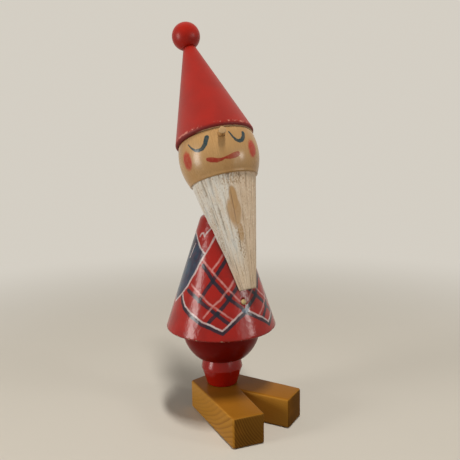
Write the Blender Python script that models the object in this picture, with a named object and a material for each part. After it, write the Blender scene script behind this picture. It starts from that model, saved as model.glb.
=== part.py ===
"""A tomte figurine: a turned wooden gnome that stands on a sawn block of two splayed feet.

Turned pieces are stacked on dowels. The body turns on the feet. The head is turned in one
piece with a long cone that is its neck behind and its carved beard in front: the cone is
hollowed at the back to sit over the coat's round top, and it turns there on the neck dowel.
Metres, +Z up. The origin is on the floor under the leg, and the feet point towards -Y.
"""
import math

import bmesh
import bpy
from mathutils import Vector

# How the groups stand, in degrees. Turns are about the upright axis, counted from the feet.
COAT_TURN = -13.0
HEAD_TURN = -8.3
FACE_TURN = -25.0
HEAD_LEAN = 19.65
HAT_TILT_SIDE = 1.4
HAT_TILT_BACK = 3.6
HAT_SLANT = 2.4

# Gaps between pieces.
SEAT_GAP = 0.0003
GLUE_GAP = 0.0001
TURN_CLEARANCE = 0.00008
BEARD_CLEARANCE = 0.0004
DOWEL_EDGE_BREAK = 0.0003

# Feet: one block, sawn into two splayed feet that differ a little.
FEET_THICKNESS = 0.0147
FOOT_WIDTH = 0.0155
LEFT_FOOT_LENGTH = 0.0252
LEFT_FOOT_SPLAY = 18.3
RIGHT_FOOT_LENGTH = 0.0268
RIGHT_FOOT_SPLAY = 21.8
NOTCH_REACH = 0.0146
HEEL_REACH = 0.0130
HEEL_WIDTH = 0.0204
FEET_EDGE_ROUND = 0.0011
FEET_SOCKET_DEPTH = 0.0105

# Leg: a tapered ankle under a collar whose side curves in towards its top.
LEG_DOWEL_RADIUS = 0.0040
ANKLE_RADIUS = 0.0077
ANKLE_HEIGHT = 0.0090
COLLAR_RADIUS = 0.0104
COLLAR_HEIGHT = 0.0052
COLLAR_ROUND = 0.0007
COLLAR_CURVE = 0.0120

# Hips: half a ball, cut flat where it stands on the leg.
HIPS_RADIUS = 0.0198
HIPS_HEIGHT = 0.0155
HIPS_EDGE_ROUND = 0.0020

# Coat: a straight cone with a softened hem and a round top.
COAT_HEIGHT = 0.0568
HEM_RADIUS = 0.0282
HEM_ROUND = 0.0008
COAT_TOP_RADIUS = 0.0090
COAT_TOP_ROUND = 0.0032
COAT_SOCKET_DEPTH = 0.0200

# Button: a short domed peg in the coat, under the beard's tip.
BUTTON_RADIUS = 0.0014
BUTTON_DEPTH = 0.0060
BUTTON_PROUD = 0.0009
BUTTON_DROP = 0.0052

# Neck: a dowel from the coat's top up into the head.
NECK_RADIUS = 0.0025
NECK_IN_COAT = 0.0160
NECK_IN_HEAD = 0.0180

# Head and beard. The leaning axis passes the neck at the head's rise above the coat.
HEAD_RISE = 0.0245
HEAD_OFFSET = 0.0012
JAW_DROP = 0.0090
JAW_RADIUS = 0.0170
JAW_ROUND = 0.0010
CHEEK_RADIUS = 0.0197
CHEEK_RISE = 0.0125
CROWN_RADIUS = 0.0187
CROWN_RISE = 0.0202
BEARD_LENGTH = 0.0536
BEARD_TOP_RADIUS = 0.0158
BEARD_TIP_RADIUS = 0.0044
FLUTES = 22
FLUTE_DEPTH = 0.0006
FLUTE_TIP_DEPTH = 0.0003

# Nose: a round peg in the face.
NOSE_RADIUS = 0.0017
NOSE_PROUD = 0.0046
NOSE_CROWN = 0.0006
NOSE_DEPTH = 0.0060
NOSE_RISE = 0.0184

# Hat and ball, stacked on the head.
HAT_OFFSET = 0.0004
HAT_HEIGHT = 0.0513
HAT_RADIUS = 0.0202
HAT_TIP_RADIUS = 0.0032
HAT_EDGE_ROUND = 0.0015
HAT_TIP_ROUND = 0.0003
HAT_DOWEL_RADIUS = 0.0030
HAT_DOWEL_IN_HEAD = 0.0060
HAT_DOWEL_IN_HAT = 0.0140
BALL_RADIUS = 0.0072
BALL_FLAT_RADIUS = 0.0028
PIN_RADIUS = 0.0012
PIN_IN_HAT = 0.0080
PIN_IN_BALL = 0.0070

# Facets round a turned piece, points along its curves, and how the mesh is joined and shaded.
TURNED_SIDES = 56
DOWEL_SIDES = 28
SIDES_PER_FLUTE = 5
ARC_STEPS = 4
EDGE_STEPS = 3
SMOOTH_ANGLE = 35.0
MERGE_DISTANCE = 0.000001

# Heights and angles that follow from the sizes above.
LEG_BASE = FEET_THICKNESS + SEAT_GAP
LEG_TOP = LEG_BASE + ANKLE_HEIGHT + COLLAR_HEIGHT
HIPS_BASE = LEG_TOP + SEAT_GAP
HIPS_TOP = HIPS_BASE + HIPS_HEIGHT
COAT_BASE = HIPS_TOP + SEAT_GAP
COAT_TOP = COAT_BASE + COAT_HEIGHT
COAT_SLOPE = math.atan2(HEM_RADIUS - COAT_TOP_RADIUS, COAT_HEIGHT)
HEAD_HEIGHT = COAT_TOP + HEAD_RISE
BEARD_TIP = -JAW_DROP - BEARD_LENGTH
TIP_HEIGHT = HEAD_HEIGHT + BEARD_TIP * math.cos(math.radians(HEAD_LEAN))
CHEEK = -JAW_DROP + CHEEK_RISE
CROWN = -JAW_DROP + CROWN_RISE
BUTTON_HEIGHT = TIP_HEIGHT - BUTTON_DROP
HAT_TOP = SEAT_GAP + HAT_HEIGHT


def material(name, colour, roughness):
    """A plain painted or lacquered finish."""
    finish = bpy.data.materials.new(name)
    finish.use_nodes = True
    shader = finish.node_tree.nodes["Principled BSDF"]
    shader.inputs["Base Color"].default_value = (*colour, 1.0)
    shader.inputs["Roughness"].default_value = roughness
    shader.inputs["Metallic"].default_value = 0.0
    return finish


def guide(name, parent=None, location=(0.0, 0.0, 0.0), turn=(0.0, 0.0, 0.0)):
    """An empty that carries a group of pieces, turned by angles in degrees."""
    empty = bpy.data.objects.new(name, None)
    bpy.context.collection.objects.link(empty)
    empty.parent = parent
    empty.location = location
    empty.rotation_euler = [math.radians(angle) for angle in turn]
    return empty


def piece(name, shape, parent=None, finish=None):
    """Turn a finished bmesh into a named object."""
    bmesh.ops.recalc_face_normals(shape, faces=shape.faces)
    mesh = bpy.data.meshes.new(name)
    shape.to_mesh(mesh)
    shape.free()
    mesh.shade_smooth()
    mesh.set_sharp_from_angle(angle=math.radians(SMOOTH_ANGLE))
    made = bpy.data.objects.new(name, mesh)
    bpy.context.collection.objects.link(made)
    made.parent = parent
    if finish:
        mesh.materials.append(finish)
    return made


def spun(outline, sides):
    """Turn an outline of (radius, height) points about Z, the way a lathe does."""
    turned = bmesh.new()
    line = [turned.verts.new((radius, 0.0, height)) for radius, height in outline]
    edges = [turned.edges.new(pair) for pair in zip(line, line[1:])]
    if outline[0][0] > 0.0:
        edges.append(turned.edges.new((line[-1], line[0])))
    bmesh.ops.spin(
        turned,
        geom=line + edges,
        axis=(0.0, 0.0, 1.0),
        cent=(0.0, 0.0, 0.0),
        angle=2.0 * math.pi,
        steps=sides,
    )
    bmesh.ops.remove_doubles(turned, verts=turned.verts, dist=MERGE_DISTANCE)
    return turned


def arc(centre, radius, start, end, steps=ARC_STEPS):
    """Points of a round corner, with angles in degrees from the outward direction."""
    angles = [math.radians(start + (end - start) * step / steps) for step in range(steps + 1)]
    return [
        (centre[0] + radius * math.cos(angle), centre[1] + radius * math.sin(angle))
        for angle in angles
    ]


def cone_side(low, high, low_round, high_round, grown=0.0):
    """The outer side of a cone from its (radius, height) at the foot to that at the top.

    Both corners are rounded, and the whole side can be grown outwards by an even gap.
    """
    slope = math.degrees(math.atan2(low[0] - high[0], high[1] - low[1]))
    low_in = low_round * math.tan(math.radians(45.0 + slope / 2.0))
    high_in = high_round * math.tan(math.radians(45.0 - slope / 2.0))
    low_centre = (low[0] - low_in, low[1] + low_round)
    high_centre = (high[0] - high_in, high[1] - high_round)
    side = arc(low_centre, low_round + grown, -90.0, slope)
    side += arc(high_centre, high_round + grown, slope, 90.0)
    return side


def coat_side(grown=0.0):
    """The coat's outer side, also used for the hollow in the beard that sits over it."""
    hem = (HEM_RADIUS, COAT_BASE)
    top = (COAT_TOP_RADIUS, COAT_TOP)
    return cone_side(hem, top, HEM_ROUND, COAT_TOP_ROUND, grown)


def rod(radius, low, high):
    """A dowel with a small break on both end edges."""
    outline = [
        (0.0, low),
        (radius - DOWEL_EDGE_BREAK, low),
        (radius, low + DOWEL_EDGE_BREAK),
        (radius, high - DOWEL_EDGE_BREAK),
        (radius - DOWEL_EDGE_BREAK, high),
        (0.0, high),
    ]
    return spun(outline, DOWEL_SIDES)


def peg(radius, low, proud, crown):
    """A peg from its low end in a hole to its end that stands proud, domed by the crown's height."""
    dome = [(radius * out, proud - crown + crown * up) for out, up in arc((0.0, 0.0), 1.0, 0.0, 90.0)]
    return spun([(0.0, low), (radius, low)] + dome, DOWEL_SIDES)


def cut(target, name, shape, parent=None):
    """Take a shape out of the target with a hidden cutter."""
    tool = piece(name, shape, parent)
    tool.hide_render = True
    tool.display_type = "WIRE"
    boolean = target.modifiers.new(name, "BOOLEAN")
    boolean.operation = "DIFFERENCE"
    boolean.solver = "EXACT"
    boolean.object = tool


def drill(radius, low, high):
    """The shape of a round hole along Z."""
    return spun([(0.0, low), (radius, low), (radius, high), (0.0, high)], DOWEL_SIDES)


def toes(notch, side, length, splay):
    """Inner and outer toe of a foot in plan, on the side 1 for the left foot and -1 for the right."""
    angle = math.radians(splay)
    along = Vector((side * math.sin(angle), -math.cos(angle)))
    across = Vector((side * math.cos(angle), math.sin(angle)))
    inner_toe = notch + along * length
    return [inner_toe, inner_toe + across * FOOT_WIDTH]


def feet_plan():
    """Plan of the feet, from the notch round the left foot and the heel to the right foot."""
    notch = Vector((0.0, -NOTCH_REACH))
    left = toes(notch, 1.0, LEFT_FOOT_LENGTH, LEFT_FOOT_SPLAY)
    right = toes(notch, -1.0, RIGHT_FOOT_LENGTH, RIGHT_FOOT_SPLAY)
    heel = [Vector((side * HEEL_WIDTH / 2.0, HEEL_REACH)) for side in (1.0, -1.0)]
    return [notch] + left + heel + right[::-1]


def build_feet(finish):
    """Saw the block with its notch, soften its outer edges and bore the leg's socket."""
    block = bmesh.new()
    sole = block.faces.new([block.verts.new((*point, 0.0)) for point in feet_plan()])
    raised = bmesh.ops.extrude_face_region(block, geom=[sole])["geom"]
    upper = [item for item in raised if isinstance(item, bmesh.types.BMVert)]
    bmesh.ops.translate(block, verts=upper, vec=(0.0, 0.0, FEET_THICKNESS))
    bmesh.ops.recalc_face_normals(block, faces=block.faces)
    bmesh.ops.bevel(
        block,
        geom=[edge for edge in block.edges if edge.is_convex],
        offset=FEET_EDGE_ROUND,
        offset_type="OFFSET",
        segments=EDGE_STEPS,
        profile=0.5,
        affect="EDGES",
    )
    feet = piece("feet_block", block, None, finish)
    floor = FEET_THICKNESS - FEET_SOCKET_DEPTH
    socket = drill(LEG_DOWEL_RADIUS + TURN_CLEARANCE, floor, 2.0 * FEET_THICKNESS)
    cut(feet, "leg_socket", socket)


def build_leg(body, paint, wood):
    """Turn the leg with its bore, and the dowel that runs up through it into the coat."""
    hole = LEG_DOWEL_RADIUS + GLUE_GAP
    shoulder = COLLAR_RADIUS - COLLAR_ROUND
    taper = math.degrees(math.atan2(COLLAR_RADIUS - ANKLE_RADIUS, ANKLE_HEIGHT))
    bulge = math.degrees(math.asin(COLLAR_HEIGHT / COLLAR_CURVE))
    outline = [(hole, LEG_BASE), (ANKLE_RADIUS, LEG_BASE)]
    outline += arc((shoulder, LEG_BASE + ANKLE_HEIGHT), COLLAR_ROUND, -taper, 0.0)
    outline += arc((COLLAR_RADIUS - COLLAR_CURVE, LEG_BASE + ANKLE_HEIGHT), COLLAR_CURVE, 0.0, bulge)[1:]
    outline += [(hole, LEG_TOP)]
    piece("leg", spun(outline, TURNED_SIDES), body, paint)
    low = FEET_THICKNESS - FEET_SOCKET_DEPTH + SEAT_GAP
    high = COAT_BASE + COAT_SOCKET_DEPTH - SEAT_GAP
    piece("leg_dowel", rod(LEG_DOWEL_RADIUS, low, high), body, wood)


def build_hips(body, paint):
    """Turn the half ball between leg and hem, with a soft edge round its flat."""
    hole = LEG_DOWEL_RADIUS + GLUE_GAP
    reach = HIPS_RADIUS - HIPS_EDGE_ROUND
    drop = HIPS_HEIGHT - HIPS_EDGE_ROUND
    edge = (math.sqrt(reach ** 2 - drop ** 2), HIPS_TOP - drop)
    lowest = -math.degrees(math.asin(drop / reach))
    outline = [(hole, HIPS_BASE)]
    outline += arc(edge, HIPS_EDGE_ROUND, -90.0, lowest)
    outline += arc((0.0, HIPS_TOP), HIPS_RADIUS, lowest, 0.0, 2 * ARC_STEPS)[1:]
    outline += [(hole, HIPS_TOP)]
    piece("hips", spun(outline, TURNED_SIDES), body, paint)


def build_coat(body, paint):
    """Turn the coat with a socket at each end."""
    leg_hole = LEG_DOWEL_RADIUS + GLUE_GAP
    leg_end = COAT_BASE + COAT_SOCKET_DEPTH
    neck_hole = NECK_RADIUS + GLUE_GAP
    neck_end = COAT_TOP - NECK_IN_COAT
    outline = [(0.0, leg_end), (leg_hole, leg_end), (leg_hole, COAT_BASE)]
    outline += coat_side()
    outline += [(neck_hole, COAT_TOP), (neck_hole, neck_end), (0.0, neck_end)]
    return piece("coat", spun(outline, TURNED_SIDES), body, paint)


def build_button(coat, body, finish):
    """Set the button square into the coat's front."""
    rise = (BUTTON_HEIGHT - COAT_BASE) * math.tan(COAT_SLOPE)
    place = (0.0, rise - HEM_RADIUS, BUTTON_HEIGHT)
    seat = guide("button_seat", body, place, (90.0 - math.degrees(COAT_SLOPE), 0.0, 0.0))
    cut(coat, "button_hole", drill(BUTTON_RADIUS + GLUE_GAP, -BUTTON_DEPTH, BUTTON_DEPTH), seat)
    piece("button", peg(BUTTON_RADIUS, SEAT_GAP - BUTTON_DEPTH, BUTTON_PROUD, BUTTON_PROUD), seat, finish)


def build_neck(body, wood):
    """Cut the dowel that the head turns on."""
    low = COAT_TOP - NECK_IN_COAT + SEAT_GAP
    high = COAT_TOP + NECK_IN_HEAD - SEAT_GAP
    piece("neck_dowel", rod(NECK_RADIUS, low, high), body, wood)


def face_radius(height):
    """Radius of the head at a height between jaw and crown."""
    if height < CHEEK:
        share = (CHEEK - height) / (CHEEK_RISE - JAW_ROUND)
        return CHEEK_RADIUS - (CHEEK_RADIUS - JAW_RADIUS) * share ** 2
    share = (height - CHEEK) / (CROWN - CHEEK)
    return CHEEK_RADIUS - (CHEEK_RADIUS - CROWN_RADIUS) * share ** 2


def head_outline():
    """The head as it leaves the lathe: the beard's cone, the jaw's step and the full cheeks."""
    most_tilt = math.radians(HAT_TILT_SIDE + HAT_TILT_BACK + HAT_SLANT)
    spare = 2.0 * CROWN_RADIUS * math.tan(most_tilt) + SEAT_GAP
    low = -JAW_DROP + JAW_ROUND
    high = CROWN + spare
    steps = 3 * ARC_STEPS
    heights = [low + (high - low) * step / steps for step in range(1, steps + 1)]
    outline = [(0.0, BEARD_TIP), (BEARD_TIP_RADIUS, BEARD_TIP), (BEARD_TOP_RADIUS, -JAW_DROP)]
    outline += arc((JAW_RADIUS - JAW_ROUND, low), JAW_ROUND, -90.0, 0.0)
    outline += [(face_radius(height), height) for height in heights]
    return outline + [(0.0, high)]


def carve_flutes(head):
    """Cut shallow straight grooves down the beard, deeper where it is wide."""
    for vert in head.verts:
        reach = math.hypot(vert.co.x, vert.co.y)
        beyond = max(BEARD_TIP_RADIUS - reach, reach - BEARD_TOP_RADIUS, vert.co.z + JAW_DROP)
        if beyond > MERGE_DISTANCE:
            continue
        share = (reach - BEARD_TIP_RADIUS) / (BEARD_TOP_RADIUS - BEARD_TIP_RADIUS)
        turn = math.atan2(vert.co.x, -vert.co.y)
        groove = max(0.0, math.cos(FLUTES * turn)) ** 2
        depth = FLUTE_TIP_DEPTH + (FLUTE_DEPTH - FLUTE_TIP_DEPTH) * share
        scale = 1.0 - groove * depth / reach
        vert.co.x *= scale
        vert.co.y *= scale


def build_head(swivel, wood):
    """Turn and carve the head, hollow its back over the coat and bore it for the neck."""
    leaning = guide("head_axis", swivel, (HEAD_OFFSET, 0.0, HEAD_HEIGHT), (-HEAD_LEAN, 0.0, 0.0))
    shape = spun(head_outline(), FLUTES * SIDES_PER_FLUTE)
    carve_flutes(shape)
    head = piece("head", shape, leaning, wood)
    hollow = [(0.0, COAT_BASE - BEARD_CLEARANCE)]
    hollow += coat_side(BEARD_CLEARANCE)
    hollow += [(0.0, COAT_TOP + BEARD_CLEARANCE)]
    cut(head, "coat_hollow", spun(hollow, TURNED_SIDES), swivel)
    cut(head, "neck_hole", drill(NECK_RADIUS + TURN_CLEARANCE, COAT_BASE, COAT_TOP + NECK_IN_HEAD), swivel)
    return leaning, head


def build_nose(leaning, head, wood):
    """Set the nose square into the face."""
    height = -JAW_DROP + NOSE_RISE
    turn = math.radians(FACE_TURN)
    reach = face_radius(height)
    place = (reach * math.sin(turn), -reach * math.cos(turn), height)
    seat = guide("nose_seat", leaning, place, (90.0, 0.0, FACE_TURN))
    cut(head, "nose_hole", drill(NOSE_RADIUS + GLUE_GAP, -NOSE_DEPTH, NOSE_DEPTH), seat)
    piece("nose", peg(NOSE_RADIUS, SEAT_GAP - NOSE_DEPTH, NOSE_PROUD, NOSE_CROWN), seat, wood)


def slant_base(hat):
    """Slide the hat's foot along its cone, so that its base is cut a little off square."""
    fall = math.tan(math.radians(HAT_SLANT))
    flare = (HAT_RADIUS - HAT_TIP_RADIUS) / HAT_HEIGHT
    for vert in hat.verts:
        if vert.co.z > SEAT_GAP + 2.0 * HAT_EDGE_ROUND:
            continue
        drop = vert.co.x * fall
        reach = math.hypot(vert.co.x, vert.co.y)
        if reach > 2.0 * HAT_DOWEL_RADIUS:
            scale = 1.0 + drop * flare / reach
            vert.co.x *= scale
            vert.co.y *= scale
        vert.co.z -= drop


def build_hat(leaning, head, paint, wood):
    """Trim the crown to the hat's slanted base, and stack the tilted hat on it."""
    tilted = guide("hat_axis", leaning, (-HAT_OFFSET, 0.0, CROWN), (-HAT_TILT_BACK, -HAT_TILT_SIDE, 0.0))
    seat = guide("hat_seat", tilted, (0.0, 0.0, 0.0), (0.0, HAT_SLANT, 0.0))
    cut(head, "crown_trim", drill(2.0 * CHEEK_RADIUS, 0.0, CROWN_RISE), seat)
    cut(head, "hat_dowel_hole", drill(HAT_DOWEL_RADIUS + GLUE_GAP, -HAT_DOWEL_IN_HEAD, CROWN_RISE), tilted)
    dowel_hole = HAT_DOWEL_RADIUS + GLUE_GAP
    dowel_end = SEAT_GAP + HAT_DOWEL_IN_HAT
    pin_hole = PIN_RADIUS + GLUE_GAP
    pin_end = HAT_TOP - PIN_IN_HAT
    outline = [(0.0, dowel_end), (dowel_hole, dowel_end), (dowel_hole, SEAT_GAP)]
    outline += cone_side((HAT_RADIUS, SEAT_GAP), (HAT_TIP_RADIUS, HAT_TOP), HAT_EDGE_ROUND, HAT_TIP_ROUND)
    outline += [(pin_hole, HAT_TOP), (pin_hole, pin_end), (0.0, pin_end)]
    shape = spun(outline, TURNED_SIDES)
    slant_base(shape)
    piece("hat", shape, tilted, paint)
    dowel = rod(HAT_DOWEL_RADIUS, SEAT_GAP - HAT_DOWEL_IN_HEAD, dowel_end - SEAT_GAP)
    piece("hat_dowel", dowel, tilted, wood)
    return tilted


def build_ball(tilted, paint, wood):
    """Turn the ball with a flat that sits on the hat's tip, and cut its pin."""
    flat = HAT_TOP + SEAT_GAP
    centre = flat + math.sqrt(BALL_RADIUS ** 2 - BALL_FLAT_RADIUS ** 2)
    lowest = -math.degrees(math.acos(BALL_FLAT_RADIUS / BALL_RADIUS))
    hole = PIN_RADIUS + GLUE_GAP
    hole_end = flat + PIN_IN_BALL
    outline = [(0.0, hole_end), (hole, hole_end), (hole, flat)]
    outline += arc((0.0, centre), BALL_RADIUS, lowest, 90.0, 3 * ARC_STEPS)
    piece("ball", spun(outline, TURNED_SIDES // 2), tilted, paint)
    pin = rod(PIN_RADIUS, HAT_TOP - PIN_IN_HAT + SEAT_GAP, hole_end - SEAT_GAP)
    piece("ball_pin", pin, tilted, wood)


def main():
    for item in list(bpy.data.objects):
        bpy.data.objects.remove(item, do_unlink=True)
    pine = material("lacquered_pine", (0.42, 0.20, 0.05), 0.35)
    honey = material("honey_wood", (0.47, 0.29, 0.13), 0.35)
    dowel_wood = material("bare_dowel", (0.60, 0.44, 0.26), 0.6)
    red = material("red_paint", (0.40, 0.03, 0.02), 0.3)
    plaid = material("plaid_coat_paint", (0.36, 0.03, 0.02), 0.3)
    yellow = material("yellow_button", (0.45, 0.32, 0.08), 0.4)
    build_feet(pine)
    body = guide("body_axis", None, (0.0, 0.0, 0.0), (0.0, 0.0, COAT_TURN))
    build_leg(body, red, dowel_wood)
    build_hips(body, red)
    coat = build_coat(body, plaid)
    build_button(coat, body, yellow)
    build_neck(body, dowel_wood)
    swivel = guide("neck_axis", body, (0.0, 0.0, 0.0), (0.0, 0.0, HEAD_TURN - COAT_TURN))
    leaning, head = build_head(swivel, honey)
    build_nose(leaning, head, honey)
    tilted = build_hat(leaning, head, red, dowel_wood)
    build_ball(tilted, red, dowel_wood)


if __name__ == "__main__":
    main()
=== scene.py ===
"""Looks of a tomte figurine: a turned and painted wooden gnome that stands on two sawn feet.

Each piece is built in fine mesh where its CAD solid stands, and is painted with nodes.
Lengths are in millimetres and turns in degrees, unless a property says otherwise.
"""
import math
import random

import bmesh
import bpy
from bpy.props import FloatProperty, FloatVectorProperty, IntProperty, PointerProperty
from bpy.types import Operator, Panel, PropertyGroup
from mathutils import Euler, Matrix, Vector, noise


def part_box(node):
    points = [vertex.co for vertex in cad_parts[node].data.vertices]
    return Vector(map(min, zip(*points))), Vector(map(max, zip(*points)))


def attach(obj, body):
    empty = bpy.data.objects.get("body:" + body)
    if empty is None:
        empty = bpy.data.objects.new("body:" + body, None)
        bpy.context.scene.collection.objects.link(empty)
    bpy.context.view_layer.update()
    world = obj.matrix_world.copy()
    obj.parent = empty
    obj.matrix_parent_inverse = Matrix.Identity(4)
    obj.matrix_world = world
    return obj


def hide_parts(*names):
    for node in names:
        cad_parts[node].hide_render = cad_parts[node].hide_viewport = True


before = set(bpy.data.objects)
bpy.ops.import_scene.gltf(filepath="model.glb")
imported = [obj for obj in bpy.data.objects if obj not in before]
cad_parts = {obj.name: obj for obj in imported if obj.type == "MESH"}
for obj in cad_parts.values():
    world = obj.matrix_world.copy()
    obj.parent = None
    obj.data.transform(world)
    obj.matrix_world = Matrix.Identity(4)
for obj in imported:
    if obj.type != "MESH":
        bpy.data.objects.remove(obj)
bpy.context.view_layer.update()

bl_info = {
    "name": "Tomte figurine looks",
    "version": (1, 0, 0),
    "blender": (4, 5, 0),
    "location": "View3D > Sidebar > Tomte",
    "description": "Builds the painted and worn pieces of a wooden tomte figurine round its CAD part",
    "category": "Object",
}

MM = 0.001


def heights(node):
    """Lowest and highest point of a CAD node."""
    low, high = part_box(node)
    return low.z / MM, high.z / MM


def half_width(node):
    """Half the width of a CAD node that was turned about the upright axis."""
    low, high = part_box(node)
    return (high.x - low.x) / 2.0 / MM


# How the groups stand, and the gaps that the solids keep.
FEET_TO_VIEW = 42.0
COAT_TURN = -13.0
HEAD_TURN = -8.3
FACE_TURN = -25.0
HEAD_LEAN = 19.65
HAT_TILT_SIDE = 1.4
HAT_TILT_BACK = 3.6
HAT_SLANT = 2.4
SEAT_GAP = 0.3
GLUE_GAP = 0.1
TURN_CLEARANCE = 0.08
BEARD_CLEARANCE = 0.4

# How finely the pieces are cut, how far a cutting tool reaches, and a margin for comparing places.
CONE_SIDES = 192
LEG_SIDES = 128
HIPS_SIDES = 144
HOLLOW_SIDES = 144
HEAD_SIDES = 396
BALL_SIDES = 96
PEG_SIDES = 48
CONE_STEP = 2.0
BEARD_STEP = 0.9
SHARP_ANGLE = math.radians(35.0)
BEARD_SHARP_ANGLE = math.radians(50.0)
CUT_REACH = 30.0
SLIVER = 0.02

# Feet.
FEET_TOP = heights("feet_block")[1]
FOOT_WIDTH = 15.5
LEFT_FOOT_LENGTH = 25.2
LEFT_FOOT_SPLAY = 18.3
RIGHT_FOOT_LENGTH = 26.8
RIGHT_FOOT_SPLAY = 21.8
NOTCH_REACH = 14.6
HEEL_REACH = 13.0
HEEL_WIDTH = 20.4
FEET_EDGE_ROUND = 1.1
FEET_SOCKET_DEPTH = 10.5
LEG_DOWEL_RADIUS = 4.0

# Leg and hips.
LEG_BASE, LEG_TOP = heights("leg")
ANKLE_RADIUS = 7.7
ANKLE_ROUND = 0.25
COLLAR_RADIUS = 10.4
COLLAR_HEIGHT = 5.2
COLLAR_LIP = 0.4
COLLAR_LIP_PROUD = 0.1
COLLAR_ROUND = 1.0
COLLAR_TILT = (10.0, 21.0)
HIPS_BASE, HIPS_TOP = heights("hips")
HIPS_RADIUS = half_width("hips")
HIPS_EDGE_ROUND = 2.0

# Coat and button.
COAT_BASE, COAT_TOP = heights("coat")
HEM_RADIUS = half_width("coat")
HEM_ROUND = 0.8
HEM_DENT = 0.6
HEM_DENT_MIDDLE = 0.4
HEM_DENT_SPREAD = 1.2
COAT_TOP_RADIUS = 9.0
COAT_TOP_ROUND = 3.2
COAT_SOCKET_DEPTH = 20.0
COAT_SLOPE = math.atan2(HEM_RADIUS - COAT_TOP_RADIUS, COAT_TOP - COAT_BASE)
NECK_RADIUS = 2.5
NECK_IN_COAT = 16.0
NECK_IN_HEAD = 18.0
BUTTON_RADIUS = 1.4
BUTTON_DEPTH = 6.0
BUTTON_PROUD = 0.9
BUTTON_DROP = 5.2

# Head and beard.
HEAD_RISE = 24.5
HEAD_HEIGHT = COAT_TOP + HEAD_RISE
HEAD_OFFSET = 1.2
JAW = -9.0
JAW_RADIUS = 17.0
JAW_ROUND = 1.0
CHEEK = 3.5
CHEEK_RADIUS = 19.7
CROWN = 11.2
CROWN_RADIUS = 18.7
CROWN_SPARE = 6.0
BEARD_TIP = -62.6
BEARD_TIP_ROUND = 0.5
BEARD_TOP_RADIUS = 15.8
BEARD_TIP_RADIUS = 4.4
BEARD_MEAN_RADIUS = 13.0
BEARD_ROUGHNESS = 0.05
GROOVE_SEED = 11
GROOVE_SWAY = 2.2
GROOVE_REACH = 14.0
NOSE_RADIUS = 1.7
NOSE_PROUD = 4.6
NOSE_DEPTH = 6.0
NOSE_HEIGHT = 9.4
NOSE_BACK_ROUND = 0.2
NOSE_END_ROUND = 0.4
NOSE_END_DOME = 0.15

# Hat and ball.
HAT_OFFSET = 0.4
HAT_RADIUS = 20.2
HAT_HEIGHT = 51.3
HAT_TIP_RADIUS = 3.2
HAT_EDGE_ROUND = 1.5
HAT_TIP_ROUND = 0.3
HAT_SLANT_REACH = 8.0
HAT_DOWEL_RADIUS = 3.0
HAT_DOWEL_IN_HEAD = 6.0
HAT_DOWEL_IN_HAT = 14.0
BALL_RADIUS = 7.2
BALL_FLAT_RADIUS = 2.8
PIN_RADIUS = 1.2
PIN_IN_HAT = 8.0
PIN_IN_BALL = 7.0

# The plaid is laid out on the coat's cone as if it were unrolled, and it repeats behind the arm.
COAT_APEX = COAT_BASE + HEM_RADIUS / math.tan(COAT_SLOPE)
ARM_MIDDLE = 105.0
WIDER_LEFT = 5.5
HEM_LINE = [
    (0.0, 59.0), (28.0, 50.5), (50.0, 54.3), (66.0, 57.5), (77.0, 59.8), (84.0, 62.3), (88.0, 64.6),
]
NOTCH_DAB = [(-1.5, 58.1), (2.0, 58.6)]
SLEEVE_EDGE = [(62.0, 82.0), (72.0, 75.3), (82.0, 68.8), (90.0, 64.7), (106.0, 59.4)]
SLEEVE_FOLD = [(90.0, 88.5), (97.0, 81.5)]
COLLAR_EDGE = [(58.0, 84.5), (70.0, 87.0), (80.0, 89.3), (95.0, 92.5), (106.0, 93.8)]
COLLAR_FRONT = [(62.0, 81.8), (58.0, 84.5), (50.0, 87.8), (41.0, 92.0), (25.0, 97.5), (8.0, 102.0)]
NECK_SQUIGGLE = [(80.0, 92.3), (76.0, 93.8), (70.0, 94.0), (66.0, 92.6), (58.0, 95.0), (48.0, 97.0)]
NAVY_STRIPES = [
    [(58.0, 79.2), (40.0, 72.7), (19.0, 64.2), (0.0, 58.6)],
    [(78.0, 67.2), (56.0, 63.2), (34.0, 57.7), (20.0, 53.0)],
    [(0.0, 88.8), (18.0, 82.0), (40.0, 72.7), (50.0, 67.6), (57.0, 63.0)],
    [(0.0, 71.0), (19.0, 64.2), (34.0, 57.7), (43.0, 53.8)],
]
WHITE_STRIPES = [
    [(62.0, 81.8), (50.0, 79.0), (35.0, 74.6), (20.0, 69.0), (5.0, 62.8)],
    [(74.0, 70.0), (60.0, 67.0), (40.0, 61.5), (17.0, 55.3)],
    [(0.0, 93.0), (22.0, 85.0), (32.0, 81.0), (42.0, 77.5)],
    [(0.0, 76.2), (15.0, 70.0), (30.0, 64.0), (38.0, 61.5), (49.0, 56.0)],
]
NAVY_WIDTHS = (1.85, 1.75)
WHITE_WIDTHS = (0.95, 0.8)
DAB_WIDTH = 1.9
HEM_SHADOW_DROP = 1.15
HEM_SHADOW_WIDTHS = (1.8, 2.2)
VEST_LINES = [
    (HEM_LINE, 0.8), (SLEEVE_EDGE, 0.95), (SLEEVE_FOLD, 0.6), (COLLAR_EDGE, 0.8),
    (COLLAR_FRONT, 0.9), (NECK_SQUIGGLE, 0.8),
]

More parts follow.
